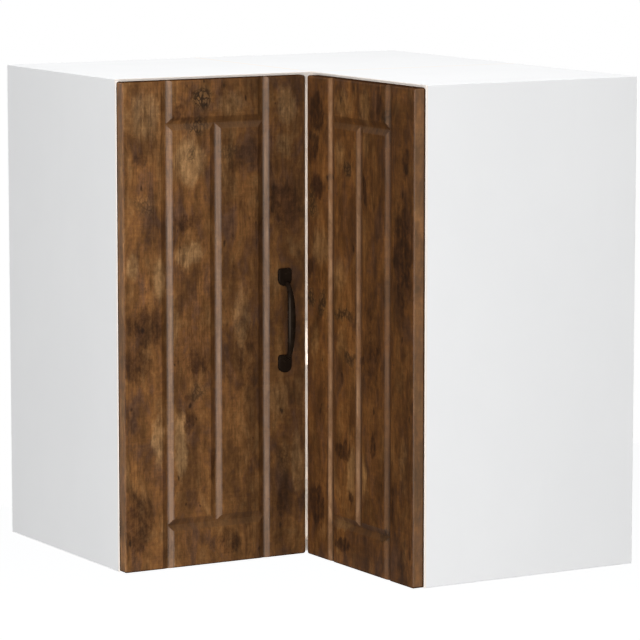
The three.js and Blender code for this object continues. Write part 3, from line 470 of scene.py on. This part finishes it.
    def backed(self, colour):
        """The back of the leaf is plain white board."""
        backside = self.math("GREATER_THAN", self.turned[1 - self.side], LEAF_BACK)
        grit = self.noise(self.point, 900.0, 3.0, 0.6, 0.0, self.seed + 7)
        white = self.mix(self.fade(grit, 0.3, 0.7), BACK_DULL, BACK_WHITE)
        return self.mix(backside, colour, white)

    def finished(self):
        colour = self.printed()
        for layer in (self.stained, self.crackled, self.ringed, self.pitted, self.toned, self.grooved):
            colour = layer(colour)
        colour = self.backed(self.mix(self.rim, colour, FOIL_RIM))
        relief = self.math("ADD", self.product(self.streaks, 0.7), self.product(self.fibres, 0.3))
        dull_rim = self.fade(self.rim, 0.0, 0.5, 1.0, 0.0)
        return self.surface(
            Base_Color=colour,
            Roughness=self.fade(self.streaks, 0.25, 0.75, 0.42, 0.33),
            Normal=self.bump(relief, 0.00016, 0.9),
            Specular_IOR_Level=self.product(self.fade(self.drawn, 0.0, 1.0, 0.22, 0.27), dull_rim),
        )


# ---------- Board, hardboard and metal ----------

LEG_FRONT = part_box("left_end_panel")[0].y
BAND_WIDTH = 2.8 * MM


def melamine(name, seed):
    """White faced chipboard with a fine pebble and faint handling marks."""
    graph = Graph(name)
    place = graph.place()
    pebble = graph.noise(place, 1400.0, 2.0, 0.5, 0.0, seed)
    broad = graph.noise(place, 7.0, 4.0, 0.6, 0.2, seed + 1)
    smear = graph.noise(graph.scale(place, (30, 30, 6)), 1.0, 4.0, 0.6, 0.6, seed + 2)
    colour = graph.mix(graph.fade(broad, 0.3, 0.7), rgb(0.855, 0.856, 0.859), rgb(0.869, 0.870, 0.872))
    colour = graph.mix(graph.fade(smear, 0.55, 0.8, 0.0, 0.25), colour, rgb(0.838, 0.838, 0.842))
    # the front edges carry a creamier edge band, whose rounded rim shows on the face beside it
    axes = graph.split(place)
    reach = graph.math("MINIMUM", graph.distance(axes[0], LEG_FRONT), graph.distance(axes[1], LEG_FRONT))
    band = graph.fade(reach, BAND_WIDTH, BAND_WIDTH * 0.7)
    front = graph.math("LESS_THAN", graph.math("MINIMUM", axes[0], axes[1]), LEG_FRONT + BAND_WIDTH)
    colour = graph.mix(graph.product(band, front), colour, rgb(0.90, 0.83, 0.765))
    rough = graph.fade(smear, 0.3, 0.7, 0.46, 0.6)
    # what faces up is dull, so that the top is as pale at a grazing angle as from above
    sheen = graph.fade(graph.split(graph.normal())[2], 0.9, 0.99, 0.12, 0.0)
    return graph.surface(
        Base_Color=colour, Roughness=rough, Normal=graph.bump(pebble, 0.00005, 0.7), Specular_IOR_Level=sheen,
    )


def hardboard(name, axis):
    """White inside and bare pressed fibre towards the wall. axis is the one that points at the wall."""
    graph = Graph(name)
    place = graph.place()
    facing = graph.split(graph.normal())[axis]
    outside = graph.math("GREATER_THAN", facing, 0.5)
    fibre = graph.noise(place, 420.0, 5.0, 0.72, 1.2, 3.0)
    patch = graph.noise(place, 9.0, 5.0, 0.6, 0.4, 4.0)
    raw = graph.mix(graph.fade(fibre, 0.3, 0.7), rgb(0.250, 0.142, 0.072), rgb(0.430, 0.275, 0.158))
    raw = graph.mix(graph.fade(patch, 0.35, 0.7, 0.0, 0.4), raw, rgb(0.330, 0.205, 0.115))
    white = graph.mix(graph.fade(patch, 0.3, 0.7), rgb(0.83, 0.83, 0.825), rgb(0.865, 0.865, 0.86))
    colour = graph.mix(outside, white, raw)
    rough = graph.math("ADD", 0.42, graph.product(outside, 0.4))
    return graph.surface(Base_Color=colour, Roughness=rough, Normal=graph.bump(fibre, 0.0001, 0.6))


def dark_metal(name):
    """Black-brown lacquered casting, rubbed a little lighter in places."""
    graph = Graph(name)
    place = graph.place()
    cast = graph.noise(place, 900.0, 4.0, 0.6, 0.0, 1.0)
    worn = graph.noise(place, 60.0, 5.0, 0.7, 0.3, 2.0)
    colour = graph.mix(graph.fade(worn, 0.3, 0.7), rgb(0.007, 0.0042, 0.0028), rgb(0.014, 0.0086, 0.0054))
    rough = graph.fade(worn, 0.25, 0.75, 0.20, 0.32)
    return graph.surface(
        Base_Color=colour, Roughness=rough, Normal=graph.bump(cast, 0.00006, 0.5), Specular_IOR_Level=0.085,
        Specular_Tint=rgb(1.0, 0.78, 0.60),
    )


def steel(name, light, dark, low, high, seed, metallic=1.0):
    """Pressed and plated steel with drawn lines and faint clouding."""
    graph = Graph(name)
    place = graph.place()
    lines = graph.noise(graph.scale(place, (1, 1, 0.05)), 1800.0, 3.0, 0.6, 0.0, seed)
    cloud = graph.noise(place, 80.0, 5.0, 0.65, 0.5, seed + 1)
    colour = graph.mix(graph.fade(cloud, 0.3, 0.72), light, dark)
    rough = graph.fade(cloud, 0.25, 0.75, low, high)
    return graph.surface(
        Base_Color=colour, Roughness=rough, Metallic=metallic, Normal=graph.bump(lines, 0.00003, 0.6),
    )


def beech(name):
    graph = Graph(name)
    place = graph.place()
    grain = graph.noise(graph.scale(place, (40, 40, 900)), 1.0, 4.0, 0.6, 0.2, 1.0)
    colour = graph.mix(graph.fade(grain, 0.3, 0.7), rgb(0.52, 0.34, 0.19), rgb(0.66, 0.47, 0.29))
    return graph.surface(Base_Color=colour, Roughness=0.7, Normal=graph.bump(grain, 0.0001, 0.6))


def plastic(name):
    graph = Graph(name)
    place = graph.place()
    spark = graph.noise(place, 1500.0, 3.0, 0.55, 0.0, 5.0)
    cloud = graph.noise(place, 40.0, 3.0, 0.5, 0.0, 6.0)
    colour = graph.mix(graph.fade(cloud, 0.3, 0.7), rgb(0.80, 0.80, 0.78), rgb(0.84, 0.84, 0.82))
    rough = graph.fade(cloud, 0.3, 0.7, 0.34, 0.44)
    return graph.surface(Base_Color=colour, Roughness=rough, Normal=graph.bump(spark, 0.00004, 0.5))


def rubber(name):
    graph = Graph(name)
    place = graph.place()
    cloud = graph.noise(place, 300.0, 3.0, 0.5, 0.0, 7.0)
    rough = graph.fade(cloud, 0.3, 0.7, 0.16, 0.3)
    colour = graph.mix(graph.fade(cloud, 0.3, 0.7), rgb(0.86, 0.87, 0.85), rgb(0.92, 0.93, 0.92))
    return graph.surface(Base_Color=colour, Roughness=rough, Transmission_Weight=0.6, IOR=1.45)


def dress(material, *names):
    """Gives CAD nodes a better material, in every slot that they have."""
    for name in names:
        held = nodes[name].data.materials
        for index in range(len(held)):
            held[index] = material


def named(*words):
    return [name for name in nodes if any(word in name for word in words)]


def dress_all():
    white = melamine("white_melamine", 1.0)
    dress(white, "left_end_panel", "right_end_panel", "bottom_panel", "top_panel", "shelf", "corner_post")
    dress(hardboard("rear_hardboard", 1), "rear_back_panel")
    dress(hardboard("right_hardboard", 0), "right_back_panel")
    dress(OakFoil("oak_foil_left", 11.0, 0, LEFT_LOOK).finished(), "left_door_leaf")
    dress(OakFoil("oak_foil_right", 47.0, 1, RIGHT_LOOK).finished(), "right_door_leaf")
    dress(dark_metal("dark_metal"), "door_handle")
    nickel = steel("nickel_steel", rgb(0.80, 0.78, 0.75), rgb(0.66, 0.65, 0.63), 0.26, 0.40, 1.0, 0.75)
    zinc = steel("zinc_steel", rgb(0.55, 0.56, 0.58), rgb(0.40, 0.41, 0.43), 0.32, 0.5, 9.0)
    dress(nickel, *named("_cup", "_arm", "hinge_plate", "fold_plate", "shelf_pin"))
    dress(zinc, *named("_cam_", "fold_pin", "handle_screw", "hanger_hook"))
    fasteners(zinc)
    dress(beech("beech"), *named("dowel"))
    dress(plastic("white_plastic"), *named("hanger_housing"))
    dress(rubber("clear_rubber"), *named("bumper"))


# ---------- Small fasteners ----------

# Lengths in millimetres; each head is its radius and its height. HANGER_SCREWS are shares of the housing's
# height, from the top.
PLATE_HEAD = (2.8, 2.2)
ARM_HEAD = (2.7, 2.0)
CUP_HEAD = (3.2, 1.3)
FOLD_PLATE_HEAD = (2.8, 1.6)
FOLD_ARM_HEAD = (2.7, 2.2)
HANGER_HEAD = (2.8, 2.4)
NAIL_HEAD = (2.2, 0.6)
PLATE_SEAT = 0.9
PLATE_SCREW = 17
CUP_SCREW = 24
ARM_SCREWS = (24, 46)
ARM_SEAT = 2.6
FOLD_ARM_SCREW = 12
HANGER_SINK = 3
HANGER_FORWARD = 12.6
HANGER_SCREWS = (0.3, 0.7)
NAIL_COUNT = 5

# A head's outline as shares of its radius and height, and its cross recess as shares of them too.
HEAD_SIDES = 24
HEAD_PROFILE = ((1.0, 0.0), (1.0, 0.3), (0.93, 0.7), (0.72, 1.0))
CROSS_HALF = 0.12
CROSS_REACH = 0.48
CROSS_DEPTH = 0.6


def add_head(builder, place, axis, radius, height, crossed):
    """Adds a domed head standing at place along axis, with a cross recess if it is a screw's."""
    turn = Vector((0, 0, 1)).rotation_difference(Vector(axis)).to_matrix().to_4x4()
    matrix = Matrix.Translation(place) @ turn

    def corner(x, y, z):
        return builder.verts.new(matrix @ Vector((x * radius, y * radius, z * height)))

    angles = [math.tau * step / HEAD_SIDES for step in range(HEAD_SIDES)]
    rings = [
        [corner(math.cos(angle) * share, math.sin(angle) * share, level) for angle in angles]
        for share, level in HEAD_PROFILE
    ]
    for low, high in zip(rings, rings[1:]):
        for step in range(HEAD_SIDES):
            after = (step + 1) % HEAD_SIDES
            builder.faces.new((low[step], low[after], high[after], high[step])).smooth = True
    builder.faces.new(rings[0][::-1])
    if not crossed:
        builder.faces.new(rings[-1])
        return
    top = [corner(x, y, 1.0) for x, y in cross_outline()]
    floor = [corner(x, y, 1.0 - CROSS_DEPTH) for x, y in cross_outline()]
    edges = [builder.edges.get(pair) or builder.edges.new(pair) for pair in loop_pairs(rings[-1])]
    edges += [builder.edges.new(pair) for pair in loop_pairs(top)]
    bmesh.ops.triangle_fill(builder, use_beauty=True, edges=edges)
    for (first, second), (under, over) in zip(loop_pairs(top), loop_pairs(floor)):
        builder.faces.new((first, second, over, under))
    builder.faces.new(floor)


def cross_outline():
    """The corners of a cross recess, as shares of the head's radius."""
    quarter = [(CROSS_HALF, CROSS_HALF), (CROSS_HALF, CROSS_REACH), (-CROSS_HALF, CROSS_REACH)]
    outline = []
    for _ in range(4):
        outline += quarter
        quarter = [(-y, x) for x, y in quarter]
    return outline


def loop_pairs(corners):
    return list(zip(corners, corners[1:] + corners[:1]))


def heads(name, body, finish, places, axis, size, crossed=True):
    """One piece made of the heads of several like fasteners; places are in millimetres."""
    radius, height = size
    builder = bmesh.new()
    for place in places:
        add_head(builder, Vector(place) * MM, axis, radius * MM, height * MM, crossed)
    bmesh.ops.recalc_face_normals(builder, faces=builder.faces)
    mesh = bpy.data.meshes.new(name)
    builder.to_mesh(mesh)
    builder.free()
    mesh.materials.append(finish)
    piece = bpy.data.objects.new(name, mesh)
    bpy.context.scene.collection.objects.link(piece)
    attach(piece, body)


def middle(node, axis):
    low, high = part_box(node)
    return (low[axis] + high[axis]) / 2 / MM


def face(node, axis, side):
    """Where a node's box ends on an axis, in millimetres: side 0 is its low end and 1 its high end."""
    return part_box(node)[side][axis] / MM


def hinge_screws(level, zinc, to_x, to_y):
    """The screws of one wide-angle hinge: its plate's, its arm's and its cup's."""
    plate, arm, cup = f"{level}_hinge_plate", f"{level}_hinge_arm", f"{level}_hinge_cup"
    height = middle(plate, 2)
    seat = face(plate, 0, 0) + PLATE_SEAT
    places = [(seat, middle(plate, 1), height + side * PLATE_SCREW) for side in (-1, 1)]
    heads(f"{plate}_screws", "carcass", zinc, places, to_x, PLATE_HEAD)
    seat = face(arm, 0, 1) - ARM_SEAT
    places = [(seat, LEG_FRONT / MM + reach, height) for reach in ARM_SCREWS]
    heads(f"{arm}_screws", "carcass", zinc, places, to_x, ARM_HEAD)
    places = [(middle(cup, 0), face(cup, 1, 1), height + side * CUP_SCREW) for side in (-1, 1)]
    heads(f"{cup}_screws", "left_door", zinc, places, to_y, CUP_HEAD)


def fold_screws(level, zinc, to_x, to_y):
    """The screws of one fold hinge: its plate's, its arm's and its cup's."""
    plate, arm, cup = f"{level}_fold_plate", f"{level}_fold_arm", f"{level}_fold_cup"
    height = middle(plate, 2)
    seat = face(plate, 1, 0) + PLATE_SEAT
    places = [(middle(plate, 0), seat, height + side * PLATE_SCREW) for side in (-1, 1)]
    heads(f"{plate}_screws", "left_door", zinc, places, to_y, FOLD_PLATE_HEAD)
    places = [(face(arm, 0, 0) + FOLD_ARM_SCREW, face(arm, 1, 1) - ARM_SEAT, height)]
    heads(f"{arm}_screw", "left_door", zinc, places, to_y, FOLD_ARM_HEAD)
    places = [(face(cup, 0, 1), middle(cup, 1), height + side * CUP_SCREW) for side in (-1, 1)]
    heads(f"{cup}_screws", "right_door", zinc, places, to_x, CUP_HEAD)


def hanger_screws(zinc, to_x, to_y):
    housing = "left_hanger_housing"
    across = face(housing, 0, 1) - HANGER_SINK
    along = middle(housing, 1) - HANGER_FORWARD
    top, tall = face(housing, 2, 1), face(housing, 2, 1) - face(housing, 2, 0)
    levels = [top - tall * share for share in HANGER_SCREWS]
    places = [(across, along, level) for level in levels]
    heads(f"{housing}_screws", "carcass", zinc, places, to_x, HANGER_HEAD)
    places = [(along, across, level) for level in levels]
    heads("right_hanger_housing_screws", "carcass", zinc, places, to_y, HANGER_HEAD)


def back_nails(zinc, to_x, to_y):
    """The nails that hold both backs to the corner post."""
    post = "corner_post"
    rise = (face(post, 2, 1) - face(post, 2, 0)) / (NAIL_COUNT + 1)
    levels = [face(post, 2, 0) + rise * (step + 1) for step in range(NAIL_COUNT)]
    back = face("rear_back_panel", 1, 1)
    places = [(middle(post, 0), back, level) for level in levels]
    heads("rear_back_nails", "carcass", zinc, places, to_y, NAIL_HEAD, crossed=False)
    back = face("right_back_panel", 0, 1)
    places = [(back, middle(post, 1), level) for level in levels]
    heads("right_back_nails", "carcass", zinc, places, to_x, NAIL_HEAD, crossed=False)


def fasteners(zinc):
    to_x, to_y = (1, 0, 0), (0, 1, 0)
    for level in ("lower", "upper"):
        hinge_screws(level, zinc, to_x, to_y)
        fold_screws(level, zinc, to_x, to_y)
    hanger_screws(zinc, to_x, to_y)
    back_nails(zinc, to_x, to_y)


# ---------- Studio ----------

BACKGROUND = (1.0, 1.0, 1.0, 1.0)
FILL_COLOUR = (0.97, 0.985, 1.0, 1.0)
FILL_STRENGTH = 0.30
FLOOR_DROP = 1.35
FLOOR_SIZE = 14.0
FLOOR_SEEN = rgb(0.86, 0.86, 0.86)
FLOOR_UNSEEN = rgb(0.25, 0.25, 0.25)
FLOOR_GLOW = 0.7

# Each lamp is its place, the point it is aimed at, its width and height, and its power.
OUTSIDE_TARGET = (0.0, 0.0, 0.3)
KEY_LAMP = ((-2.0, -2.75, 0.15), OUTSIDE_TARGET, (2.5, 2.2), 96.5)
LEFT_LAMP = ((-3.3, 0.35, 0.1), OUTSIDE_TARGET, (1.0, 2.0), 9.2)
TOP_LAMP = ((-0.3, -0.3, 3.2), OUTSIDE_TARGET, (2.6, 2.6), 73)
SHELF_LAMP = ((0.08, 0.08, 0.57), (0.08, 0.08, 0.25), (0.24, 0.24), 0.13)
EDGE_LAMP = ((-0.005, -0.005, 0.239), (0.1, 0.1, 0.239), (0.006, 0.02), 0.007)
SHELF_SPREAD = 50
WARM = (1.0, 0.84, 0.72)

# The lamps behind the leaves: each compartment's are so high up, so tall and so strong.
SLIT_LEVELS = (("lower", 0.12, 0.19, 0.52), ("upper", 0.41, 0.3, 0.50))
SLIT_WIDTH = 0.18
SLIT_SIDE = -0.16
SLIT_FORWARD = -0.0152
SLIT_TARGET = -1.0

FOLD_PLACE = (-0.025, -0.026)
FOLD_TARGET = (-0.019, -0.012)
FOLD_SIZE = (0.003, 0.011)
FOLD_POWER = 0.004


def lamp(name, place, target, size, power, colour=(1, 1, 1), seen=True, spread=180):
    """A soft box at place, aimed at target. spread is its beam's angle in degrees."""
    data = bpy.data.lights.new(name, "AREA")
    data.shape = "RECTANGLE"
    data.size, data.size_y = size
    data.energy = power
    data.color = colour
    data.spread = math.radians(spread)
    holder = bpy.data.objects.new(name, data)
    holder.location = place
    aim = Vector(target) - Vector(place)
    holder.rotation_euler = aim.to_track_quat("-Z", "Y").to_euler()
    holder.visible_camera = False
    holder.visible_glossy = seen
    bpy.context.scene.collection.objects.link(holder)


def backdrop():
    """Plain white for the camera, and a weaker fill for everything else."""
    world = bpy.data.worlds.new("studio")
    bpy.context.scene.world = world
    world.use_nodes = True
    tree = world.node_tree
    tree.nodes.clear()
    out = tree.nodes.new("ShaderNodeOutputWorld")
    path = tree.nodes.new("ShaderNodeLightPath")
    seen = tree.nodes.new("ShaderNodeMath")
    seen.operation = "MAXIMUM"
    tree.links.new(path.outputs["Is Camera Ray"], seen.inputs[0])
    tree.links.new(path.outputs["Is Transmission Ray"], seen.inputs[1])
    fill = tree.nodes.new("ShaderNodeBackground")
    fill.inputs[0].default_value = FILL_COLOUR
    fill.inputs[1].default_value = FILL_STRENGTH
    shown = tree.nodes.new("ShaderNodeBackground")
    shown.inputs[0].default_value = BACKGROUND
    mix = tree.nodes.new("ShaderNodeMixShader")
    tree.links.new(seen.outputs[0], mix.inputs[0])
    tree.links.new(fill.outputs[0], mix.inputs[1])
    tree.links.new(shown.outputs[0], mix.inputs[2])
    tree.links.new(mix.outputs[0], out.inputs[0])


def ground():
    """The floor, which the camera sees as white and which gives the cabinet only a little light."""
    half = FLOOR_SIZE / 2
    mesh = bpy.data.meshes.new("floor")
    corners = [(-half, -half), (half, -half), (half, half), (-half, half)]
    mesh.from_pydata([(x, y, -FLOOR_DROP) for x, y in corners], [], [(0, 1, 2, 3)])
    floor = bpy.data.objects.new("floor", mesh)
    bpy.context.scene.collection.objects.link(floor)
    graph = Graph("floor")
    path = graph.node("ShaderNodeLightPath").outputs
    seen = graph.math("MAXIMUM", path["Is Camera Ray"], path["Is Transmission Ray"])
    graph.surface(
        Base_Color=graph.mix(seen, FLOOR_UNSEEN, FLOOR_SEEN), Roughness=0.8,
        Emission_Color=rgb(1.0, 1.0, 1.0), Emission_Strength=graph.product(seen, FLOOR_GLOW),
    )
    mesh.materials.append(graph.material)


def slit_lamps():
    """Small warm lamps inside the carcass, which light what the slit between the leaves shows."""
    for level, height, tall, power in SLIT_LEVELS:
        # these shine out at the shut leaves, whose white backs light the inside; they reach open leaves too
        size = (SLIT_WIDTH, tall)
        place, target = (SLIT_SIDE, SLIT_FORWARD, height), (SLIT_SIDE, SLIT_TARGET, height)
        lamp(f"inside_{level}_left", place, target, size, power, WARM, seen=False)
        place, target = (SLIT_FORWARD, SLIT_SIDE, height), (SLIT_TARGET, SLIT_SIDE, height)
        lamp(f"inside_{level}_right", place, target, size, power, WARM, seen=False)
    lamp("inside_shelf", *SHELF_LAMP, WARM, seen=False, spread=SHELF_SPREAD)
    lamp("inside_edge", *EDGE_LAMP, WARM, seen=False)
    for level in ("lower", "upper"):
        height = middle(f"{level}_fold_arm", 2) * MM
        place, target = (*FOLD_PLACE, height), (*FOLD_TARGET, height)
        lamp(f"inside_{level}_fold", place, target, FOLD_SIZE, FOLD_POWER, WARM, seen=False)


def studio():
    backdrop()
    ground()
    lamp("key", *KEY_LAMP)
    lamp("left", *LEFT_LAMP)
    lamp("above", *TOP_LAMP, seen=False)
    slit_lamps()


camera()
studio()
dress_all()
bpy.context.scene.view_settings.view_transform = "Standard"
